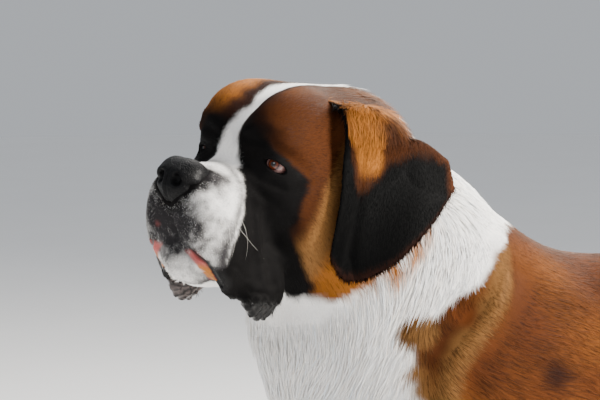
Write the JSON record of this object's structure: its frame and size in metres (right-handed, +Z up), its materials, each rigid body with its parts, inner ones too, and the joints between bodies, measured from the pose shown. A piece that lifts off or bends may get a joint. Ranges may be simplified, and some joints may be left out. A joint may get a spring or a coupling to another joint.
{
  "type": "saint bernard dog",
  "caption": "Life-size Saint Bernard dog, standing on four legs with its head turned to its left, red and white coat.",
  "frame": {"origin": "on the floor, under the middle of the dog's bounding box", "axes": "-X the way the dog's body faces, -Y the dog's left side, +Z up"},
  "size_m": [1.3202, 0.385, 0.9864],
  "materials": {
    "white_coat": "white fur",
    "red_coat": "reddish-brown fur",
    "dark_coat": "black short fur",
    "nose": "moist black skin",
    "eye": "wet brown eye",
    "claw": "dark horn"
  },
  "bodies": {
    "root": {"claw_fore_right_1": "claw", "claw_fore_left_1": "claw", "claw_fore_right_2": "claw", "claw_fore_left_2": "claw", "claw_fore_right_3": "claw", "claw_fore_left_3": "claw", "claw_fore_right_4": "claw", "claw_fore_left_4": "claw", "leg_fore_right": "white_coat", "leg_fore_left": "white_coat", "claw_hind_right_1": "claw", "claw_hind_left_1": "claw", "claw_hind_right_2": "claw", "claw_hind_left_2": "claw", "claw_hind_right_3": "claw", "claw_hind_left_3": "claw", "claw_hind_right_4": "claw", "claw_hind_left_4": "claw", "leg_hind_right": "white_coat", "leg_hind_left": "white_coat", "head": "red_coat", "nose": "nose", "ear_left": "dark_coat", "ear_right": "dark_coat", "neck": "white_coat", "torso": "red_coat", "tail": "white_coat", "eye_left": "eye", "eye_right": "eye"}
  },
  "joints": []
}
